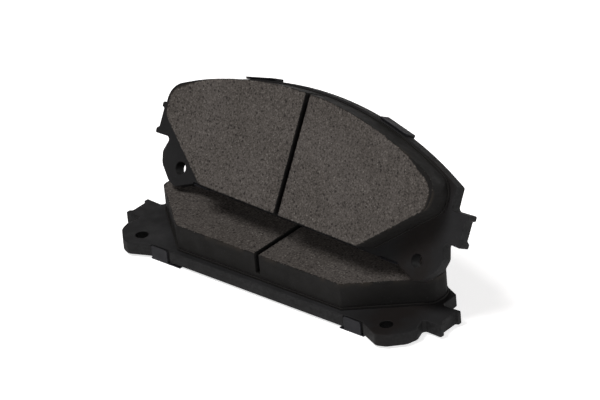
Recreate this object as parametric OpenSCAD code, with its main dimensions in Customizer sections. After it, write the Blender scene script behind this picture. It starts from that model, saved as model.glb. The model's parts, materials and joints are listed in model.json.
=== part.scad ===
// A pair of disc brake pads for one caliper.
// The lower pad lies on its back. The upper pad leans back over it and stands on its two ears.
// Each pad has its own frame: X runs along its length, Y points to the top arc, Z points to the
// friction face. Its origin is midway between the ear holes, on the friction side of the plate.

/* [Backing plate] */
// Overall length of the plate, across the lug tips
plate_len = 155.7; // [152:0.1:162]
// Thickness of the steel plate
plate_t = 5; // [4.5:0.1:6.5]
// Height of the plate's top arc above the hole line
plate_crown = 46.4; // [46.2:0.1:48]
// Radius of the plate's top arc
plate_arc_r = 157.5; // [150:0.5:170]
// Half the width of the plate above the lugs
shoulder_x = 69.2; // [69:0.1:70]
// Height of the plate's bottom edge, between the ears
plate_bottom = -3.9; // [-4.2:0.1:-3.7]

/* [Lugs and ears] */
// Height of the lug's upper face
lug_top = 21.7; // [21:0.1:23]
// Height of the lug's lower face
lug_bottom = 9.9; // [9:0.1:10.5]
// How far the lug's tips stand out past its end face
tip_out = 1.2; // [0.5:0.1:2]
// Length of each lug tip along the end face
tip_h = 2; // [1.5:0.1:3]
// Widest point of the ear
ear_x = 71.7; // [71:0.1:72.5]
// Lowest point of the ear
ear_bottom = -7.6; // [-8:0.1:-7.2]
// Distance between the two ear holes
hole_pitch = 121; // [119:0.5:122]
// Diameter of each ear hole
hole_d = 5; // [4:0.1:6]
// Diameter of each moulding hole, which the underlayer fills
plug_d = 12; // [8:0.5:14]
// Distance between the two moulding holes
plug_pitch = 56; // [40:1:64]

/* [Friction material] */
// Height of the friction face above the plate
pad_h = 11.1; // [9:0.1:12]
// Height of the bonded underlayer
underlayer_h = 1; // [0.8:0.1:2]
// How far the underlayer stands out past the friction block
underlayer_lip = 0.35; // [0.1:0.05:0.6]
// Height of the friction block's top arc above the hole line
block_crown = 45.6; // [45:0.1:45.7]
// Radius of the friction block's top arc
block_arc_r = 158; // [150:0.5:170]
// Half the width of the friction block
block_x = 67.6; // [66.5:0.1:68]
// Half the width of the friction block's straight bottom edge
block_bottom_x = 40.3; // [38:0.1:42]
// Height of the friction block's bottom edge
block_bottom = -1.4; // [-2:0.1:-1]
// Width of the centre slot
slot_w = 2; // [1.5:0.1:3]
// Height of the slot's floor above the plate
slot_floor = 2.7; // [2.2:0.1:5]

/* [Shims] */
// Thickness of each rubber layer
rubber_t = 0.15; // [0.1:0.05:0.3]
// Thickness of the damper shim's steel core
core_t = 0.4; // [0.3:0.05:0.6]
// Thickness of the cover shim
cover_t = 0.4; // [0.3:0.05:0.6]
// How far both shims sit off centre, in the play that their tabs have
shim_shift = -0.45; // [-0.6:0.05:0.6]
// Width of each top tab
top_tab_w = 14.3; // [10:0.1:16]
// Distance of each top tab from the middle
top_tab_x = 33.6; // [28:0.1:40]
// Width of each bottom tab
low_tab_w = 8; // [6:0.1:8.2]
// Distance of each bottom tab from the middle
low_tab_x = 47.75; // [47.5:0.05:48]

/* [Pose of the upper pad] */
// Angle that the upper pad leans, from lying flat
lean_angle = 61; // [55:0.5:75]
// Turn of the upper pad about the upright axis
lean_yaw = -2.7; // [-6:0.1:6]
// Sideways place of the upper pad
lean_x = 3.5; // [-6:0.1:6]
// Place of the upper pad towards the top arc of the lower pad
lean_y = 18.3; // [16:0.1:22]

/* [Hidden] */

arc_step = 4;          // spacing of the points along a top arc
corner_steps = 8;      // points in one rounded corner
through = 1;           // how far a cutter runs past the face that it cuts
play = 0.05;           // gap between a tab, the plate's edge and the next tab
recess_depth = 0.6;    // depth of the plate's recess for a bottom tab
recess_in = 43.05;     // inner end of that recess
recess_out = 52.4;     // outer end of that recess
recess_edge_r = 0.38;  // rounding of the recess's two outer corners
recess_floor_r = 0.2;  // rounding of its two inner corners
contact_gap = 0.1;     // gap between the upper pad's ears and the lower friction face
tab_root = 3;          // length of sheet that a tab shares with its shim
core_tab_top = -0.6;   // front end of the damper shim's tabs
cover_tab_top = -0.2;  // front end of the cover shim's tabs
damper_inset = 1;      // how far the damper shim's edge lies inside the plate's
cover_inset = 1.8;     // how far the cover shim's edge lies inside the plate's
shim_x = 63;           // half the width of a shim with no inset
shim_side_y = 9;       // height where a shim's side turns in to the bottom edge
shim_bottom_x = 55;    // half the width of a shim's bottom edge
foot_y = -4.1;         // lowest edge of the cover shim's feet
foot_left = [-52.2, -37.5];  // ends of the left foot
foot_right = [41.5, 53];     // ends of the right foot

front_rubber_z = -plate_t - rubber_t;
core_z = front_rubber_z - core_t;
back_rubber_z = core_z - rubber_t;
cover_z = back_rubber_z - cover_t;
lug_x = plate_len / 2;
lean_z = pad_h + contact_gap - ear_bottom * sin(lean_angle) + plate_t * cos(lean_angle);

steel_colour = [0.16, 0.16, 0.17];
friction_colour = [0.27, 0.26, 0.25];
underlayer_colour = [0.22, 0.2, 0.18];
rubber_colour = [0.1, 0.1, 0.1];
core_colour = [0.3, 0.3, 0.31];
cover_colour = [0.2, 0.2, 0.22];

function unit(v) = v / norm(v);
function arc_height(x, crown, r) = crown - r + sqrt(r * r - x * x);

// Points along a top arc, from -x to x
function arc_points(x, crown, r) =
    let (n = ceil(2 * x / arc_step))
    [for (i = [0:n]) let (u = 2 * x * i / n - x) [u, arc_height(u, crown, r), 0]];

// The left half of an edge, running on from the end of its right half
function mirrored(half) = [for (i = [len(half) - 1:-1:0]) [-half[i].x, half[i].y, half[i][2]]];

// Points of one corner of radius r at p, between its neighbours before and after
function corner(before, p, after, r) =
    let (u = unit(before - p),
         v = unit(after - p),
         half = acos(u * v) / 2,
         centre = p + unit(u + v) * r / sin(half),
         start = p + u * r / tan(half) - centre,
         stop = p + v * r / tan(half) - centre,
         from = atan2(start.y, start.x),
         turn = (atan2(stop.y, stop.x) - from + 540) % 360 - 180)
    [for (i = [0:corner_steps])
        centre + r * [cos(from + turn * i / corner_steps), sin(from + turn * i / corner_steps)]];

// Turns a closed list of [x, y, radius] into the points of the rounded outline
function rounded(points) =
    let (n = len(points), flat = [for (p = points) [p.x, p.y]])
    [for (i = [0:n - 1])
        each points[i][2] == 0 ? [flat[i]]
            : corner(flat[(i + n - 1) % n], flat[i], flat[(i + 1) % n], points[i][2])];

// Right half of the plate's edge, from the shoulder down to the tab recess
plate_half = [
    [shoulder_x, arc_height(shoulder_x, plate_crown, plate_arc_r), 1],
    [shoulder_x + 0.2, lug_top, 1.5],
    [lug_x, lug_top + 0.5, 0.7],
    [lug_x, lug_top + 0.5 - tip_h, 0.4],
    [lug_x - tip_out, lug_top - tip_h, 0.5],
    [lug_x - tip_out, lug_bottom + tip_h + 0.5, 0.5],
    [lug_x, lug_bottom + tip_h - 0.4, 0.4],
    [lug_x, lug_bottom - 0.3, 0.7],
    [shoulder_x + 0.4, lug_bottom, 1.4],
    [ear_x, 3.8, 3],
    [ear_x - 1.3, -0.8, 5],
    [65, -6.2, 4],
    [61.2, ear_bottom, 3],
    [recess_out + 0.6, plate_bottom - 0.3, 0.5],
    [recess_out, plate_bottom - 0.2, recess_edge_r],
    [recess_out, plate_bottom + recess_depth, recess_floor_r],
    [recess_in, plate_bottom + recess_depth, recess_floor_r],
    [recess_in, plate_bottom, recess_edge_r]];

// Right half of the friction block's edge, from the upper corner down to the bottom corner
function block_half(grow) = [
    [block_x + grow, arc_height(block_x + grow, block_crown + grow, block_arc_r), 8.5],
    [block_x - 1 + grow, 20.3 - grow / 2, 5],
    [block_bottom_x + grow / 3, block_bottom - grow, 1.5]];

// Right half of a shim's edge, from the upper corner down to the bottom corner
function shim_half(inset) = [
    [shim_x - inset, arc_height(shim_x - inset, plate_crown - inset, plate_arc_r), 4],
    [shim_x - inset, shim_side_y, 5],
    [shim_bottom_x - inset, plate_bottom + inset, 2]];

module plate_outline() {
    polygon(rounded(concat(arc_points(60, plate_crown, plate_arc_r), plate_half, mirrored(plate_half))));
}

module block_outline(grow) {
    half = block_half(grow);
    polygon(rounded(concat(arc_points(58, block_crown + grow, block_arc_r), half, mirrored(half))));
}

module shim_outline(inset) {
    half = shim_half(inset);
    polygon(rounded(concat(arc_points(54, plate_crown - inset, plate_arc_r), half, mirrored(half))));
}

// A strip of sheet that bends round the plate's edge. It points along +X, with the edge at x = 0.
// The leg starts gap outside the edge, and the sheet is t thick with its back at z_back.
module tab(w, gap, t, z_back, z_top) {
    bend = rounded([
        [-tab_root, z_back, 0],
        [gap + t, z_back, t + 0.2],
        [gap + t, z_top, 0],
        [gap, z_top, 0],
        [gap, z_back + t, 0.2],
        [-tab_root, z_back + t, 0]]);
    rotate([90, 0, 0])
        linear_extrude(w, center = true)
            polygon(bend);
}

// The four tabs of one shim, off centre with it
module tabs(gap, t, z_back, z_top) {
    for (side = [-1, 1]) {
        top_x = side * top_tab_x + shim_shift;
        translate([top_x, arc_height(top_x, plate_crown, plate_arc_r), 0])
            rotate([0, 0, 90 - asin(top_x / plate_arc_r)])
                tab(top_tab_w, gap, t, z_back, z_top);
        translate([side * low_tab_x + shim_shift, plate_bottom + recess_depth, 0])
            rotate([0, 0, -90])
                tab(low_tab_w, gap, t, z_back, z_top);
    }
}

// A layer of the shim stack, from z_back up by t, off centre in the play of its tabs
module shim_sheet(inset, z_back, t) {
    translate([shim_shift, 0, z_back])
        linear_extrude(t)
            shim_outline(inset);
}

module friction_block() {
    color(friction_colour)
        difference() {
            translate([0, 0, underlayer_h])
                linear_extrude(pad_h - underlayer_h)
                    block_outline(0);
            translate([-slot_w / 2, block_bottom - through, slot_floor])
                cube([slot_w, block_crown - block_bottom + 2 * through, pad_h]);
        }
}

module underlayer() {
    color(underlayer_colour) {
        linear_extrude(underlayer_h)
            block_outline(underlayer_lip);
        for (side = [-1, 1])
            translate([side * plug_pitch / 2, plug_y(), -plate_t])
                cylinder(h = plate_t + underlayer_h / 2, d = plug_d, $fn = 64);
    }
}

function plug_y() = (block_crown + block_bottom) / 2;

module backing_plate() {
    color(steel_colour)
        difference() {
            translate([0, 0, -plate_t])
                linear_extrude(plate_t)
                    plate_outline();
            for (side = [-1, 1]) {
                translate([side * hole_pitch / 2, 0, -plate_t - through])
                    cylinder(h = plate_t + 2 * through, d = hole_d, $fn = 64);
                translate([side * plug_pitch / 2, plug_y(), -plate_t - through])
                    cylinder(h = plate_t + 2 * through, d = plug_d, $fn = 64);
            }
        }
}

module damper_front_rubber() {
    color(rubber_colour)
        shim_sheet(damper_inset, front_rubber_z, rubber_t);
}

module damper_shim() {
    color(core_colour) {
        shim_sheet(damper_inset, core_z, core_t);
        tabs(play, core_t, core_z, core_tab_top);
    }
}

module damper_back_rubber() {
    color(rubber_colour)
        shim_sheet(damper_inset, back_rubber_z, rubber_t);
}

module cover_shim() {
    color(cover_colour) {
        shim_sheet(cover_inset, cover_z, cover_t);
        tabs(2 * play + core_t, cover_t, cover_z, cover_tab_top);
        for (foot = [foot_left, foot_right])
            translate([foot[0] + shim_shift, foot_y, cover_z])
                cube([foot[1] - foot[0], plate_bottom + cover_inset + 1 - foot_y, cover_t]);
    }
}

// Puts a piece of the lower pad in its place, flat on its shims
module lower() {
    translate([0, 0, -cover_z])
        children();
}

// Puts a piece of the upper pad in its place, leaning over the lower one
module upper() {
    translate([lean_x, lean_y, lean_z - cover_z])
        rotate([lean_angle, 0, lean_yaw])
            children();
}

lower() cover_shim();  // lower_cover_shim
lower() damper_back_rubber();  // lower_damper_back_rubber
lower() damper_shim();  // lower_damper_shim
lower() damper_front_rubber();  // lower_damper_front_rubber
lower() backing_plate();  // lower_backing_plate
lower() underlayer();  // lower_underlayer
lower() friction_block();  // lower_friction_block
upper() cover_shim();  // upper_cover_shim
upper() damper_back_rubber();  // upper_damper_back_rubber
upper() damper_shim();  // upper_damper_shim
upper() damper_front_rubber();  // upper_damper_front_rubber
upper() backing_plate();  // upper_backing_plate
upper() underlayer();  // upper_underlayer
upper() friction_block();  // upper_friction_block
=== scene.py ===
"""The looks of a pair of disc brake pads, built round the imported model. Lengths are in metres.

Every piece is made once in the pad's own frame, from the shape of its CAD node, and is then placed
on each of the two pads. The pad's frame has X along its length, Y towards its top arc and Z out of
its friction face, with its origin midway between the ear holes on the plate's friction side.
"""
import json
import math
import random

import bmesh
import bpy
from mathutils import Matrix, Vector, kdtree, noise


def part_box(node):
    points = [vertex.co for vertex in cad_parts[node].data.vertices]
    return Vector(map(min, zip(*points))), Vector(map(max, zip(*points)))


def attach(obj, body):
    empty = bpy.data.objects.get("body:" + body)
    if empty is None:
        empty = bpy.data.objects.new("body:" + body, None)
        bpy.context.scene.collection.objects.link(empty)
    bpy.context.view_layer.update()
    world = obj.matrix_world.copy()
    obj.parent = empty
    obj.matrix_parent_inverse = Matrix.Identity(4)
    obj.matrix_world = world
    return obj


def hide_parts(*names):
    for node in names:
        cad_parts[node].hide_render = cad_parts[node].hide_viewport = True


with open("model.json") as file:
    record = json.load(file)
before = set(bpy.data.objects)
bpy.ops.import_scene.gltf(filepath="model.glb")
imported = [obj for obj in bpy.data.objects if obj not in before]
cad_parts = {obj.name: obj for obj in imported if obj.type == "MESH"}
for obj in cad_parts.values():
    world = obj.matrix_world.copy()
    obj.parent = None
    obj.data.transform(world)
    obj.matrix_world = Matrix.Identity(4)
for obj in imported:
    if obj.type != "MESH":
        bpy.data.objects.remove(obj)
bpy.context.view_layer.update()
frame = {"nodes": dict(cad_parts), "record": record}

MM = 0.001
PADS = ("lower", "upper")
MERGE = 0.002 * MM  # points closer than this are one point
FLAT_ANGLE = math.radians(0.5)  # faces that meet at less than this are one face
EDGE_ANGLE = math.radians(35)  # edges sharper than this are rounded
SHADE_ANGLE = math.radians(40)  # edges sharper than this stay crisp in shading

# ---------------------------------------------------------------- frames and sizes


def mount(name):
    """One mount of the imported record, by its name."""
    return next(m for m in frame["record"]["mounts"] if m["name"] == name)


def pad_frame(pad):
    """The matrix that puts a pad's own frame in its place."""
    left = mount(f"{pad}_left_ear_hole")
    right = mount(f"{pad}_right_ear_hole")
    a, b = Vector(left["pos_m"]), Vector(right["pos_m"])
    x, z = (b - a).normalized(), Vector(left["axis"]).normalized()
    origin = (a + b) / 2 + z * left["dims"]["length_mm"] / 2 * MM
    turn = Matrix((x, z.cross(x), z)).transposed().to_4x4()
    return Matrix.Translation(origin) @ turn


PLACE = {pad: pad_frame(pad) for pad in PADS}
TO_PAD = PLACE["lower"].inverted()


def local_box(kind):
    """Lowest and highest corner of a piece in the pad's frame.

    They come from the lower pad, which lies square to the axes.
    """
    low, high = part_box(f"lower_{kind}")
    return TO_PAD @ low, TO_PAD @ high


BLOCK_LOW, BLOCK_HIGH = local_box("friction_block")
FACE_Z = BLOCK_HIGH.z
PLATE_BACK_Z = local_box("backing_plate")[0].z
# How far out the ear holes are
HOLE_X = (TO_PAD @ Vector(mount("lower_right_ear_hole")["pos_m"])).x
HOLE_REACH = 4 * MM  # faces nearer to a hole's axis belong to the hole
UPRIGHT = 0.3  # a face whose normal has less Z than this stands upright
# Shifts the upper pad's patterns, so that the two pads don't look the same. X stays as it is,
# because the plate's painted brown shade goes by it.
PATTERN_SHIFT = {"lower": Vector((0, 0, 0)), "upper": Vector((0, 0.31, 0.17))}

# ---------------------------------------------------------------- mesh tools


def cad_shape(kind):
    """The CAD shape of a piece in the pad's frame, with each flat face as one face."""
    shape = bmesh.new()
    shape.from_mesh(frame["nodes"][f"lower_{kind}"].data)
    shape.transform(TO_PAD)
    bmesh.ops.remove_doubles(shape, verts=shape.verts, dist=MERGE)
    bmesh.ops.dissolve_limit(
        shape, angle_limit=FLAT_ANGLE, verts=shape.verts, edges=shape.edges, delimit={"NORMAL"}
    )
    bmesh.ops.recalc_face_normals(shape, faces=shape.faces)
    return shape


def sharp_edges(shape, wanted=lambda edge: True):
    """The edges where two faces meet at a clear angle, and that pass a further test."""
    return [
        e
        for e in shape.edges
        if len(e.link_faces) == 2 and e.calc_face_angle() > EDGE_ANGLE and wanted(e)
    ]


def bevel(shape, edges, width, segments):
    """Rounds edges of a shape, and marks the new faces as open to wear."""
    made = bmesh.ops.bevel(
        shape, geom=edges, offset=width, segments=segments, profile=0.5, affect="EDGES",
        clamp_overlap=False,
    )
    worn = shape.faces.layers.float.get("worn") or shape.faces.layers.float.new("worn")
    for face in made["faces"]:
        if face.is_valid:
            face[worn] = 1.0


def cut_grid(shape, axis, start, stop, spacing):
    """Cuts a shape with evenly spaced planes square to an axis."""
    normal = Vector((0, 0, 0))
    normal[axis] = 1
    for i in range(1, round((stop - start) / spacing)):
        bmesh.ops.bisect_plane(
            shape,
            geom=shape.verts[:] + shape.edges[:] + shape.faces[:],
            dist=MERGE / 4,
            plane_co=normal * (start + i * spacing),
            plane_no=normal,
        )


def place_piece(kind, pad, shape, material, body, ground=None):
    """Makes an object of a shape on one pad, in place of its CAD node.

    It writes what the materials read: pad_co, a point's place in the pad's frame; side and bore,
    the upright faces outside and inside the ear holes; and ground, how bare a point is.
    """
    name = f"{pad}_{kind}"
    mesh = bpy.data.meshes.new(name + "_looks")
    shape.to_mesh(mesh)
    local = mesh.attributes.new("pad_co", "FLOAT_VECTOR", "POINT")
    for i, v in enumerate(mesh.vertices):
        local.data[i].vector = v.co + PATTERN_SHIFT[pad]
    side = mesh.attributes.new("side", "FLOAT", "FACE")
    bore = mesh.attributes.new("bore", "FLOAT", "FACE")
    for i, polygon in enumerate(mesh.polygons):
        upright = abs(polygon.normal.z) < UPRIGHT
        inside = math.hypot(abs(polygon.center.x) - HOLE_X, polygon.center.y) < HOLE_REACH
        side.data[i].value = float(upright and not inside)
        bore.data[i].value = float(upright and inside)
    if ground:
        bare = mesh.attributes.new("ground", "FLOAT", "POINT")
        for i, value in enumerate(ground):
            bare.data[i].value = value
    mesh.transform(PLACE[pad])
    mesh.shade_smooth()
    mesh.set_sharp_from_angle(angle=SHADE_ANGLE)
    mesh.materials.append(material)
    obj = bpy.data.objects.new(name + "_looks", mesh)
    bpy.context.scene.collection.objects.link(obj)
    even = obj.modifiers.new("even", "WEIGHTED_NORMAL")
    even.keep_sharp = True
    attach(obj, f"{pad}_{body}")
    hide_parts(name)
    return obj


# ---------------------------------------------------------------- material tools


class Nodes:
    """A short way to write a material's nodes."""

    def __init__(self, name):
        self.material = bpy.data.materials.new(name)
        self.material.use_nodes = True
        self.tree = self.material.node_tree
        self.shader = self.tree.nodes["Principled BSDF"]

    def add(self, kind, settings=None, **inputs):
        """Adds a node. Inputs are values or sockets, under their names with _ for a space."""
        node = self.tree.nodes.new(kind)
        for key, value in (settings or {}).items():
            setattr(node, key, value)
        for key, value in inputs.items():
            self.put(node, key.replace("_", " "), value)
        return node

    def put(self, node, socket, value):
        """Sets or links one input of a node."""
        target = node.inputs[socket]
        if isinstance(value, bpy.types.NodeSocket):
            self.tree.links.new(value, target)
        else:
            target.default_value = value

    def place(self):
        """Where a point lies in the pad's own frame."""
        return self.add("ShaderNodeAttribute", {"attribute_name": "pad_co"}).outputs["Vector"]

    def mask(self, name):
        """A mesh attribute that holds one number."""
        return self.add("ShaderNodeAttribute", {"attribute_name": name}).outputs["Fac"]

    def noise(self, where, scale, detail=2.0, roughness=0.5):
        """Cloudy noise from 0 to 1. The scale is in cells per metre: 1400 is a 0.7 mm grain."""
        node = self.add(
            "ShaderNodeTexNoise", Vector=where, Scale=scale, Detail=detail, Roughness=roughness
        )
        return node.outputs["Fac"]

    def cells(self, where, scale):
        """Random cells: Color is one colour to a cell, and Distance is that from its middle."""
        return self.add("ShaderNodeTexVoronoi", Vector=where, Scale=scale, Randomness=1.0)

    def ramp(self, value, low, high, out_low=0.0, out_high=1.0):
        """A smooth step from out_low to out_high as value goes from low to high."""
        node = self.add("ShaderNodeMapRange", {"interpolation_type": "SMOOTHSTEP"}, Value=value)
        for socket, number in zip(("From Min", "From Max", "To Min", "To Max"),
                                  (low, high, out_low, out_high)):
            node.inputs[socket].default_value = number
        return node.outputs["Result"]

    def math(self, operation, a, b=0.0):
        """The result of one operation on two values or sockets."""
        node = self.add("ShaderNodeMath", {"operation": operation})
        self.put(node, 0, a)
        self.put(node, 1, b)
        return node.outputs[0]

    def times(self, a, b):
        return self.math("MULTIPLY", a, b)

    def mix(self, factor, a, b):
        """A colour between a and b."""
        node = self.add("ShaderNodeMix", {"data_type": "RGBA"})
        self.put(node, 0, factor)
        self.put(node, 6, a)
        self.put(node, 7, b)
        return node.outputs[2]

    def bump(self, height, distance, strength=1.0, normal=None):
        """A normal that follows a height, on top of another normal if there is one."""
        node = self.add("ShaderNodeBump", Height=height, Distance=distance, Strength=strength)
        if normal is not None:
            self.put(node, "Normal", normal)
        return node.outputs["Normal"]

    def set(self, **inputs):
        """Sets inputs of the material's own shader."""
        for key, value in inputs.items():
            self.put(self.shader, key.replace("_", " "), value)
        return self.material


def rgba(r, g, b):
    """An opaque colour, in linear light."""
    return (r, g, b, 1.0)


# ---------------------------------------------------------------- materials

PLATE_COAT = rgba(0.0145, 0.0145, 0.015)  # satin black powder coat
PLATE_DUST = rgba(0.0225, 0.0225, 0.0235)  # the same under fine dust
COAT_GLINT = rgba(0.04, 0.04, 0.043)  # the brighter grains of any coat
PLATE_PAINTED_SHADE = rgba(0.0105, 0.0078, 0.0066)  # painted shade, tinted brown, on the coat near the block's right end
PLATE_WEAR_AND_HIGHLIGHT = rgba(0.08, 0.08, 0.085)  # steel that shows through at the edges, and a painted highlight along them
TORN_STEEL = rgba(0.01, 0.0098, 0.0098)  # the torn patches of a punched side
BORE_PAINTED_SHADE = rgba(0.003, 0.003, 0.003)  # painted shade, nearly black, on the coat inside the ear holes
MATRIX_DARK = rgba(0.066, 0.059, 0.053)  # ground compound, in darker and lighter clouds
MATRIX_LIGHT = rgba(0.08, 0.072, 0.066)
COMPOUND_PIT = rgba(0.026, 0.023, 0.021)  # its pores
COMPOUND_GRAIN = rgba(0.145, 0.132, 0.12)  # its light grains
FLAKE = rgba(0.2, 0.188, 0.172)  # its metal flakes
COKE = rgba(0.018, 0.016, 0.015)  # its carbon grains
BLOCK_COAT = rgba(0.011, 0.0105, 0.01)  # coat on the walls of the block
BLOCK_DUST = rgba(0.014, 0.0135, 0.013)
BLOCK_THIN_AND_SHEEN = rgba(0.026, 0.022, 0.0185)  # the same, lighter and browner where it is rubbed thin, which also paints a sheen below the rim
BOND_DARK = rgba(0.009, 0.0085, 0.008)  # the squeezed-out underlayer
BOND_LIGHT = rgba(0.016, 0.015, 0.014)
RUBBER_DARK = rgba(0.008, 0.008, 0.008)  # rubber film
RUBBER_LIGHT = rgba(0.016, 0.016, 0.017)
CORE_COAT = rgba(0.010, 0.010, 0.011)  # the damper shim, and its rubbed edges
CORE_WORN = rgba(0.05, 0.05, 0.054)
COVER_COAT = rgba(0.010, 0.010, 0.012)  # the cover shim, and its rubbed edges
COVER_WORN = rgba(0.045, 0.045, 0.05)

# The plate's painted brown shade along X: where it comes in, and where it goes out again
PAINTED_SHADE_IN = (44 * MM, 56 * MM)
PAINTED_SHADE_OUT = (63 * MM, 72 * MM)

LINE_STRETCH = (0.04, 1.0, 1.0)  # draws a sheet's noise out into rolling lines along X

# How strongly each surface reflects straight on, where 0.5 is common for plastic
PLATE_SPECULAR = 0.09
COMPOUND_SPECULAR = 0.06
UNDERLAYER_SPECULAR = 0.12
SHEET_SPECULAR = 0.12
RUBBER_SPECULAR = 0.3


def coat_nodes(n, where, base, dust):
    """Colour, roughness and normal of satin black powder coat, with a faint orange peel."""
    cloud = n.noise(where, 45.0, 3.0)
    grain = n.noise(where, 1400.0, 2.0)
    colour = n.mix(n.ramp(cloud, 0.35, 0.7), base, dust)
    colour = n.mix(n.ramp(grain, 0.62, 0.75, 0.0, 0.3), colour, COAT_GLINT)
    rough = n.ramp(n.noise(where, 220.0, 3.0), 0.3, 0.7, 0.6, 0.75)
    peel = n.bump(n.noise(where, 650.0, 2.0), 0.05 * MM, 0.6)
    return colour, rough, n.bump(grain, 0.015 * MM, 0.5, peel)


def plate_material():
    """Powder-coated steel, with painted shade near the block's right end and in the ear holes. Its
    sharp edges are worn to a lighter grey, which also paints a highlight along them.
    """
    n = Nodes("powder_coated_plate")
    where = n.place()
    colour, rough, normal = coat_nodes(n, where, PLATE_COAT, PLATE_DUST)
    along = n.add("ShaderNodeSeparateXYZ", Vector=where).outputs["X"]
    # Painted shade, tinted brown, on the coat beside the block's right end, where shadow falls
    near_end = n.times(n.ramp(along, *PAINTED_SHADE_IN), n.ramp(along, PAINTED_SHADE_OUT[1], PAINTED_SHADE_OUT[0]))
    painted_shade = n.times(near_end, n.ramp(n.noise(where, 90.0, 4.0), 0.3, 0.55, 0.0, 0.7))
    colour = n.mix(painted_shade, colour, PLATE_PAINTED_SHADE)
    # The rounded edges turn lighter: worn coat, and a painted highlight along them
    rubbed = n.ramp(n.noise(where, 500.0, 4.0), 0.42, 0.6, 0.12, 0.65)
    worn = n.times(n.mask("worn"), rubbed)
    colour = n.mix(worn, colour, PLATE_WEAR_AND_HIGHLIGHT)
    torn = n.noise(where, 900.0, 4.0, 0.65)
    patch = n.times(n.mask("side"), n.ramp(torn, 0.4, 0.62, 0.4, 0.9))
    colour = n.mix(patch, colour, TORN_STEEL)
    tear = n.add("ShaderNodeBump", Height=torn, Distance=0.12 * MM, Normal=normal)
    n.put(tear, "Strength", n.times(n.mask("side"), 0.8))
    normal = tear.outputs["Normal"]
    # Painted shade: the walls of the ear holes are coloured nearly black
    colour = n.mix(n.mask("bore"), colour, BORE_PAINTED_SHADE)
    return n.set(
        Base_Color=colour, Roughness=rough, Normal=normal, Specular_IOR_Level=PLATE_SPECULAR
    )


def friction_material():
    """Moulded compound: ground bare on the face, black coat on its walls and in its slot, and a
    painted sheen on that coat just below the rim.
    """
    n = Nodes("friction_compound")
    where = n.place()
    matrix = n.mix(n.ramp(n.noise(where, 55.0, 3.0), 0.3, 0.7), MATRIX_DARK, MATRIX_LIGHT)
    fine = n.noise(where, 1500.0, 3.0, 0.65)
    body = n.mix(n.ramp(fine, 0.3, 0.5), COMPOUND_PIT, matrix)
    body = n.mix(n.ramp(fine, 0.52, 0.72), body, COMPOUND_GRAIN)
    flakes = n.cells(where, 1300.0)
    flake_kind = n.add("ShaderNodeSeparateColor", Color=flakes.outputs["Color"]).outputs["Red"]
    flake_spot = n.ramp(flakes.outputs["Distance"], 0.34, 0.22)
    bright = n.times(n.ramp(flake_kind, 0.972, 0.982), flake_spot)
    body = n.mix(bright, body, FLAKE)
    coke = n.cells(where, 760.0)
    coke_kind = n.add("ShaderNodeSeparateColor", Color=coke.outputs["Color"]).outputs["Green"]
    coke_spot = n.ramp(coke.outputs["Distance"], 0.42, 0.3)
    dark = n.times(n.ramp(coke_kind, 0.86, 0.9), coke_spot)
    body = n.mix(n.times(dark, 0.75), body, COKE)

    coat, coat_rough, coat_normal = coat_nodes(n, where, BLOCK_COAT, BLOCK_DUST)
    ground = n.mask("ground")
    ragged = n.math("ADD", ground, n.times(n.math("SUBTRACT", fine, 0.5), 0.8))
    bare = n.ramp(ragged, 0.35, 0.65)
    # Just below the rim the walls' coat turns lighter and browner: rubbed thin, and a painted
    # sheen
    rubbed = n.ramp(n.noise(where, 110.0, 3.0), 0.45, 0.65)
    thin_and_sheen = n.times(n.ramp(ground, 0.02, 0.3), rubbed)
    coat = n.mix(thin_and_sheen, coat, BLOCK_THIN_AND_SHEEN)
    colour = n.mix(bare, coat, body)
    coat_part = n.times(coat_rough, n.math("SUBTRACT", 1.0, n.times(bare, 0.15)))
    rough = n.math("ADD", n.times(bare, 0.32), coat_part)
    pores = n.bump(fine, 0.06 * MM, 0.7, coat_normal)
    return n.set(
        Base_Color=colour, Roughness=rough, Normal=pores, Specular_IOR_Level=COMPOUND_SPECULAR
    )


def underlayer_material():
    """The bonding layer squeezed out at the foot of the block: rough, under thin coat."""
    n = Nodes("underlayer_compound")
    where = n.place()
    fine = n.noise(where, 1500.0, 4.0, 0.7)
    colour = n.mix(n.ramp(fine, 0.3, 0.7), BOND_DARK, BOND_LIGHT)
    return n.set(
        Base_Color=colour,
        Roughness=n.ramp(fine, 0.3, 0.7, 0.65, 0.85),
        Normal=n.bump(fine, 0.05 * MM, 0.8),
        Specular_IOR_Level=UNDERLAYER_SPECULAR,
    )


def sheet_material(name, base, worn_colour, rough_low, rough_high):
    """Coated sheet steel with fine rolling lines, light scuffs and brighter edges."""
    n = Nodes(name)
    where = n.place()
    along = n.add("ShaderNodeMapping", Vector=where)
    along.inputs["Scale"].default_value = LINE_STRETCH
    lines = n.noise(along.outputs["Vector"], 2600.0, 2.0)
    cloud = n.noise(where, 60.0, 3.0)
    lighter = rgba(*(1.35 * c for c in base[:3]))
    colour = n.mix(n.ramp(cloud, 0.35, 0.65), base, lighter)
    colour = n.mix(n.ramp(lines, 0.6, 0.75, 0.0, 0.3), colour, worn_colour)
    rubbed = n.ramp(n.noise(where, 700.0, 4.0), 0.4, 0.6, 0.1, 0.6)
    colour = n.mix(n.times(n.mask("worn"), rubbed), colour, worn_colour)
    return n.set(
        Base_Color=colour,
        Roughness=n.ramp(n.noise(where, 300.0, 3.0), 0.3, 0.7, rough_low, rough_high),
        Normal=n.bump(lines, 0.01 * MM, 0.5, n.bump(cloud, 0.2 * MM, 0.3)),
        Specular_IOR_Level=SHEET_SPECULAR,
    )


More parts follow.
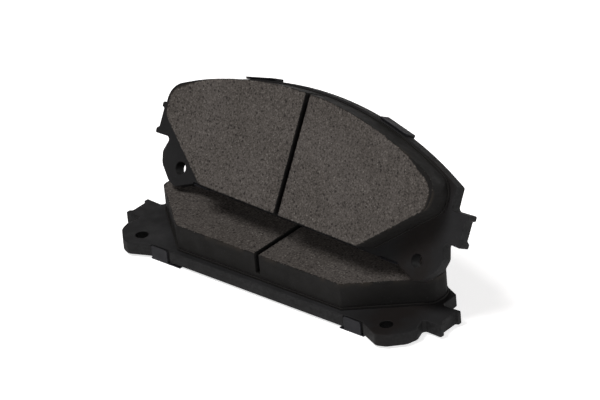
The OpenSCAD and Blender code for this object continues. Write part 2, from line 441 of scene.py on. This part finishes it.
def rubber_material():
    """Thin film of nitrile rubber with a fine matt grain."""
    n = Nodes("shim_rubber")
    where = n.place()
    grain = n.noise(where, 2200.0, 3.0, 0.6)
    return n.set(
        Base_Color=n.mix(n.ramp(grain, 0.35, 0.65), RUBBER_DARK, RUBBER_LIGHT),
        Roughness=n.ramp(grain, 0.3, 0.7, 0.7, 0.85),
        Normal=n.bump(grain, 0.03 * MM, 0.6),
        Specular_IOR_Level=RUBBER_SPECULAR,
    )


# ---------------------------------------------------------------- shapes

PLATE_FRONT_EDGE = 0.35 * MM  # widths of the rounded edges
PLATE_BACK_EDGE = 0.15 * MM
SHEET_EDGE = 0.1 * MM
RUBBER_EDGE = 0.04 * MM
UNDERLAYER_EDGE = 0.12 * MM
BLOCK_EDGE = 0.18 * MM
SHEET_T = 0.4 * MM  # thickness of the steel of both shims
COVER_TIP = 0.7 * MM  # radii of the corners of their tab tips
DAMPER_TIP = 0.6 * MM


def plate_shape():
    """The punched plate: rolled over on its friction side, nearly sharp at its back."""
    shape = cad_shape("backing_plate")
    front = sharp_edges(shape, lambda e: min(v.co.z for v in e.verts) > -MERGE)
    bevel(shape, front, PLATE_FRONT_EDGE, 3)
    back = sharp_edges(shape, lambda e: max(v.co.z for v in e.verts) < PLATE_BACK_Z + MERGE)
    bevel(shape, back, PLATE_BACK_EDGE, 2)
    return shape


def sheet_shape(kind, tip_radius):
    """A shim of bent sheet, with its tab tips and edges rounded."""
    shape = cad_shape(kind)
    tip_z = local_box(kind)[1].z - MERGE
    tips = sharp_edges(
        shape,
        lambda e: min(v.co.z for v in e.verts) > tip_z
        and abs(e.calc_length() - SHEET_T) < 5 * MERGE,
    )
    bevel(shape, tips, tip_radius, 4)
    bevel(shape, sharp_edges(shape, lambda e: e.is_convex), SHEET_EDGE, 2)
    return shape


def thin_shape(kind, width):
    """A thin layer with slightly rounded edges."""
    shape = cad_shape(kind)
    bevel(shape, sharp_edges(shape), width, 2)
    return shape


GRID = 0.4 * MM  # spacing of the points on the friction face
WALL_GRID = 0.6 * MM  # their spacing down the block's walls
# Where an upper corner starts and where it is full, along the pad's X and Y
CORNER_X = (BLOCK_HIGH.x - 18 * MM, BLOCK_HIGH.x - 6 * MM)
CORNER_Y = (17 * MM, 25 * MM)
CORNER_DROP = 0.7 * MM  # how far the face is rolled off at the rim of an upper corner
ROLL_WIDTH = 4.0 * MM  # how far from the rim the roll-off starts
COAT_ON_RIM = 1.3 * MM  # how far the coat runs over the rim onto the face at those corners
FADE = 1.5 * MM  # over what width it then thins out
THIN_COAT_AND_SHEEN = 3.0 * MM  # how far below the rim the coat on the walls is rubbed thin and carries a painted sheen
SLOT_REACH = 1.6 * MM  # the slot lies this near the middle
RIM_DEPTH = 0.5 * MM  # how far down the walls the rim, with its chips, reaches
ROUNDED_RIM = 0.3 * MM  # points this near below the face are on its rounded edge
FACE_UP = 0.95  # a point whose normal has more Z than this is on the face itself
BARE_CHANCE = 0.05  # the share of the rim's points that have lost their coat
BARE_SPECK = 0.8  # how bare those points are
BARE_AT_RIM = 0.35  # how bare the face is at its very rim
RUBBED_THIN_AND_SHEEN = 0.3  # how bare the walls are just below the rim, partly real wear and partly a painted sheen

# The block's noise: its cells per metre, where it starts to count, and how deep it goes
GRAIN_CELLS, FACE_GRAIN_DEPTH, WALL_GRAIN_DEPTH = 1400, 0.012 * MM, 0.02 * MM
PORE_CELLS, PORE_START, PORE_DEPTH = 900, 0.32, 0.22 * MM
WAVE_CELLS, WAVE_DEPTH = 160, 0.03 * MM
CHIP_CELLS, CHIP_START, CHIP_DEPTH = 330, 0.3, 0.9 * MM
COAT_LINE_CELLS, COAT_LINE_SHARE = 300, 0.15  # how unevenly the coat ends on the face


def block_shape():
    """The friction block cut into a fine grid, ready to be roughened."""
    shape = cad_shape("friction_block")
    bevel(shape, sharp_edges(shape), BLOCK_EDGE, 2)
    for axis, spacing in enumerate((GRID, GRID, WALL_GRID)):
        cut_grid(shape, axis, BLOCK_LOW[axis], BLOCK_HIGH[axis], spacing)
    return shape


def smooth_step(value, low, high):
    """A smooth step from 0 to 1 as value goes from low to high."""
    t = min(1.0, max(0.0, (value - low) / (high - low)))
    return t * t * (3 - 2 * t)


def corner_share(co):
    """1 at the block's two upper corners, fading to 0 towards its middle and its lower edge."""
    return smooth_step(abs(co.x), *CORNER_X) * smooth_step(co.y, *CORNER_Y)


def rim_tree(shape):
    """A search tree of the points on the rim of the face and of the slot."""
    rim = [v.co.copy() for v in shape.verts if FACE_Z - ROUNDED_RIM < v.co.z < FACE_Z - MERGE]
    tree = kdtree.KDTree(len(rim))
    for i, co in enumerate(rim):
        tree.insert(co, i)
    tree.balance()
    return tree


def in_slot(co):
    """True in and right beside the block's slot."""
    return abs(co.x) < SLOT_REACH


def face_depth(co, offset):
    """How far a point of the ground face is sunk, by its grain and its pores."""
    grain = noise.noise(co * GRAIN_CELLS + offset)
    pore = max(0.0, noise.noise(co * PORE_CELLS - offset) - PORE_START)
    return FACE_GRAIN_DEPTH * (1 + grain) + PORE_DEPTH * pore


def wall_depth(co, offset):
    """How far a point of a wall is sunk, by the grain and the slow waves of its moulded skin."""
    grain = noise.noise(co * GRAIN_CELLS + offset)
    wave = noise.noise(co * WAVE_CELLS + offset)
    return WALL_GRAIN_DEPTH * (1 + grain) + WAVE_DEPTH * (1 + wave)


def chip_depth(co, offset):
    """How much deeper a point of the rim is sunk, where a chip has gone."""
    return CHIP_DEPTH * max(0.0, noise.noise(co * CHIP_CELLS - offset) - CHIP_START)


def roughen_block(shape, seed):
    """Gives the face its pores, the walls their moulded skin and the rim small chips.

    Returns how bare each point is: 1 on the ground face, 0 on the coated walls.
    """
    shape.normal_update()
    offset = Vector((seed, 2 * seed, 3 * seed))
    chances = random.Random(int(seed))
    rim = rim_tree(shape)
    bare = []
    moves = []
    for v in shape.verts:
        co = v.co
        on_face = co.z > FACE_Z - MERGE and v.normal.z > FACE_UP
        on_rim = co.z > FACE_Z - RIM_DEPTH and not on_face
        corner = corner_share(co)
        if on_face:
            depth = face_depth(co, offset)
            inset = rim.find(co)[2]
            roll = max(0.0, 1 - inset / ROLL_WIDTH) ** 1.5
            uneven = 1 + COAT_LINE_SHARE * noise.noise(co * COAT_LINE_CELLS + offset)
            reach = COAT_ON_RIM * corner * uneven
            bare.append(min(1.0, max(0.0, (inset - reach) / FADE + BARE_AT_RIM)))
        else:
            depth = wall_depth(co, offset)
            # The upper half of a wall sinks with the face, more and more towards the rim
            roll = max(0.0, (co.z - 0.5 * FACE_Z) / (0.5 * FACE_Z))
            if on_rim:
                depth += chip_depth(co, offset)
            if on_rim and chances.random() < BARE_CHANCE:
                bare.append(BARE_SPECK)
            elif in_slot(co):
                bare.append(0.0)
            else:
                # Walls are lighter just below the rim: rubbed thin, and a painted sheen
                bare.append(RUBBED_THIN_AND_SHEEN * max(0.0, 1 - (FACE_Z - co.z) / THIN_COAT_AND_SHEEN))
        moves.append(-depth * v.normal - Vector((0, 0, CORNER_DROP * corner * roll)))
    for v, move in zip(shape.verts, moves):
        v.co += move
    return bare


# ---------------------------------------------------------------- the pads

plate_coat = plate_material()
compound = friction_material()
bond = underlayer_material()
rubber = rubber_material()
core_sheet = sheet_material("damper_core", CORE_COAT, CORE_WORN, 0.5, 0.65)
cover_sheet = sheet_material("cover_sheet", COVER_COAT, COVER_WORN, 0.48, 0.6)

PIECES = (
    # kind, shape, material, body, slot
    ("cover_shim", sheet_shape("cover_shim", COVER_TIP), cover_sheet, "cover", "cover_shim"),
    (
        "damper_back_rubber", thin_shape("damper_back_rubber", RUBBER_EDGE),
        rubber, "damper", "shim_rubber",
    ),
    ("damper_shim", sheet_shape("damper_shim", DAMPER_TIP), core_sheet, "damper", "shim_core"),
    (
        "damper_front_rubber", thin_shape("damper_front_rubber", RUBBER_EDGE),
        rubber, "damper", "shim_rubber",
    ),
    ("backing_plate", plate_shape(), plate_coat, "pad", "backing_plate"),
    ("underlayer", thin_shape("underlayer", UNDERLAYER_EDGE), bond, "pad", "underlayer"),
)
for kind, shape, material, body, slot in PIECES:
    for pad in PADS:
        place_piece(kind, pad, shape, material, body)
    shape.free()

BLOCK_SEEDS = {"lower": 11.0, "upper": 47.0}  # so that the two blocks don't have the same chips
whole_block = block_shape()
for pad in PADS:
    block = whole_block.copy()
    bare = roughen_block(block, BLOCK_SEEDS[pad])
    place_piece("friction_block", pad, block, compound, "pad", bare)
    block.free()
whole_block.free()

# ---------------------------------------------------------------- floor, light and camera

FLOOR_REACH = 3.0
AIM = Vector((0, 0.02, 0.03))  # the middle of the pads, which every light faces
LIGHTS = (
    # name, place, width of the square, power in watts, colour
    ("key", (-0.25, -0.5, 1.38), 0.55, 15.5, (1.0, 0.985, 0.985)),
    ("back left", (-1.2, 1.1, 0.6), 0.6, 2.2, (1, 1, 1)),
    ("back", (0.4, 1.7, 0.25), 0.4, 7.0, (1, 1, 1)),
    ("side", (1.25, -0.55, 0.35), 0.9, 6.0, (0.95, 0.96, 1.0)),
)
SKY_COLOUR = rgba(1.0, 0.84, 0.74)
SKY_STRENGTH = 0.07
LENS_MM, SENSOR_MM = 211.6, 36.0
CAMERA_AT = (0.7847, -0.8238, 0.6750)
CAMERA_TURN_DEG = (60.65, 4.535, 40.195)


def make_floor():
    """A wide, pale, plain floor."""
    mesh = bpy.data.meshes.new("floor")
    floor = bmesh.new()
    bmesh.ops.create_grid(floor, x_segments=1, y_segments=1, size=FLOOR_REACH)
    floor.to_mesh(mesh)
    floor.free()
    obj = bpy.data.objects.new("floor", mesh)
    bpy.context.scene.collection.objects.link(obj)
    n = Nodes("floor_white")
    mesh.materials.append(n.set(
        Base_Color=rgba(0.9, 0.9, 0.9), Roughness=0.9, Specular_IOR_Level=0.1,
        Emission_Color=rgba(1, 1, 1), Emission_Strength=0.7,
    ))


def area_light(name, at, size, power, colour):
    """A soft square light that faces the pads."""
    data = bpy.data.lights.new(name, "AREA")
    data.shape, data.size, data.energy, data.color = "SQUARE", size, power, colour
    obj = bpy.data.objects.new(name, data)
    obj.location = at
    obj.rotation_euler = (AIM - Vector(at)).to_track_quat("-Z", "Y").to_euler()
    bpy.context.scene.collection.objects.link(obj)


def make_camera():
    """A long lens, turned a little about its own axis."""
    data = bpy.data.cameras.new("camera")
    data.lens = LENS_MM
    data.sensor_width = SENSOR_MM
    data.clip_start, data.clip_end = 0.05, 20.0
    obj = bpy.data.objects.new("camera", data)
    obj.location = CAMERA_AT
    obj.rotation_euler = [math.radians(a) for a in CAMERA_TURN_DEG]
    bpy.context.scene.collection.objects.link(obj)
    bpy.context.scene.camera = obj


def make_sky():
    """A dim warm light from all round."""
    world = bpy.data.worlds.new("studio")
    world.use_nodes = True
    background = world.node_tree.nodes["Background"]
    background.inputs["Color"].default_value = SKY_COLOUR
    background.inputs["Strength"].default_value = SKY_STRENGTH
    bpy.context.scene.world = world


make_floor()
make_camera()
make_sky()
bpy.context.scene.view_settings.view_transform = "Standard"
for light in LIGHTS:
    area_light(*light)
